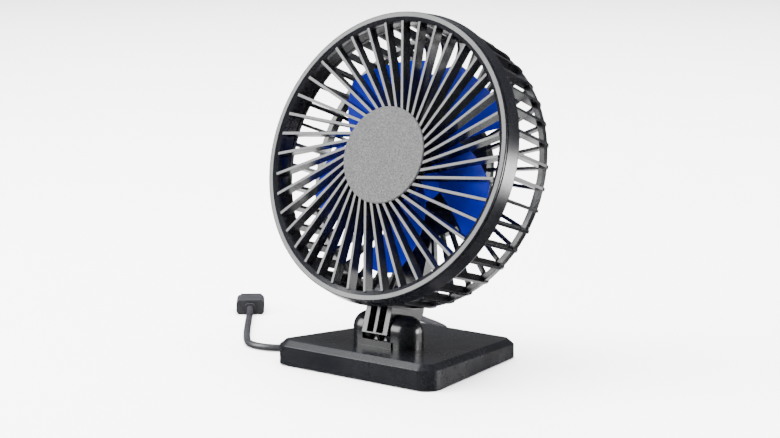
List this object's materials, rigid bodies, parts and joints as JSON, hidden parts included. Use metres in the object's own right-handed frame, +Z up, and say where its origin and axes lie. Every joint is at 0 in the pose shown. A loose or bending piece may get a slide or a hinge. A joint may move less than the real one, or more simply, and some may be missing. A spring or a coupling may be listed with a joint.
{
  "type": "usb desk fan",
  "caption": "Small caged desk fan with swirled front grille, blue blades and a head that tilts between two ears on a flat weighted base, with a USB lead.",
  "frame": {"origin": "on the table under the middle of the fan's box, without its lead", "axes": "+Z up, the fan blows towards -Y, +X is its left-hand side as it looks out"},
  "size_m": [0.2383, 0.2, 0.1766],
  "materials": {
    "black_gloss": "gloss moulded ABS",
    "black_satin": "satin moulded ABS",
    "blue_blade": "gloss coloured polypropylene",
    "badge_metal": "speckled metallic",
    "steel": "zinc plated",
    "plug_steel": "nickel plated",
    "gold": "gold flash",
    "white_plastic": "moulded",
    "black_plastic": "moulded",
    "rubber": "matte",
    "cable": "satin jacket",
    "copper": "enamelled wire",
    "bronze": "sintered bronze",
    "board": "solder mask",
    "magnet": "bonded ferrite"
  },
  "bodies": {
    "base": {"base_cover": "black_gloss", "base_plate": "black_satin", "ballast_plate": "steel", "rubber_feet": "rubber", "base_screws": "steel", "pivot_bolt": "steel", "pivot_nut": "steel", "friction_washers": "rubber", "cord_grommet": "cable", "base_lead": "cable", "power_cord": "cable", "cord_coil": "cable", "plug_body": "cable", "plug_shell": "plug_steel", "plug_tongue": "white_plastic", "plug_contacts": "gold"},
    "head": {"front_grille": "black_gloss", "grille_badge": "badge_metal", "rear_cage": "black_gloss", "motor_cover": "black_gloss", "cover_screws": "steel", "circuit_board": "board", "push_switch": "black_plastic", "bearing_tube": "steel", "front_bush": "bronze", "rear_bush": "bronze", "stator_core": "steel", "stator_windings": "copper", "head_lead": "cable"},
    "rotor": {"impeller": "blue_blade", "rotor_cup": "steel", "magnet_ring": "magnet", "motor_shaft": "steel", "retaining_clip": "steel"},
    "button": {"power_button": "black_satin", "switch_plunger": "white_plastic"}
  },
  "joints": [
    {"name": "head_tilt", "type": "hinge", "parent": "base", "child": "head", "pos_m": [0, -0.0158, 0.0198], "axis": [1, 0, 0], "range_deg": [-30, 18]},
    {"name": "blade_spin", "type": "hinge", "parent": "head", "child": "rotor", "pos_m": [0, -0.01905, 0.10771], "axis": [0, 0.9511, -0.309], "continuous": true},
    {"name": "button_press", "type": "slide", "parent": "head", "child": "button", "axis": [0, -0.9511, 0.309], "range_m": [0, 0.0015], "stiffness_N_per_m": 1500, "springref_m": -0.0006}
  ]
}
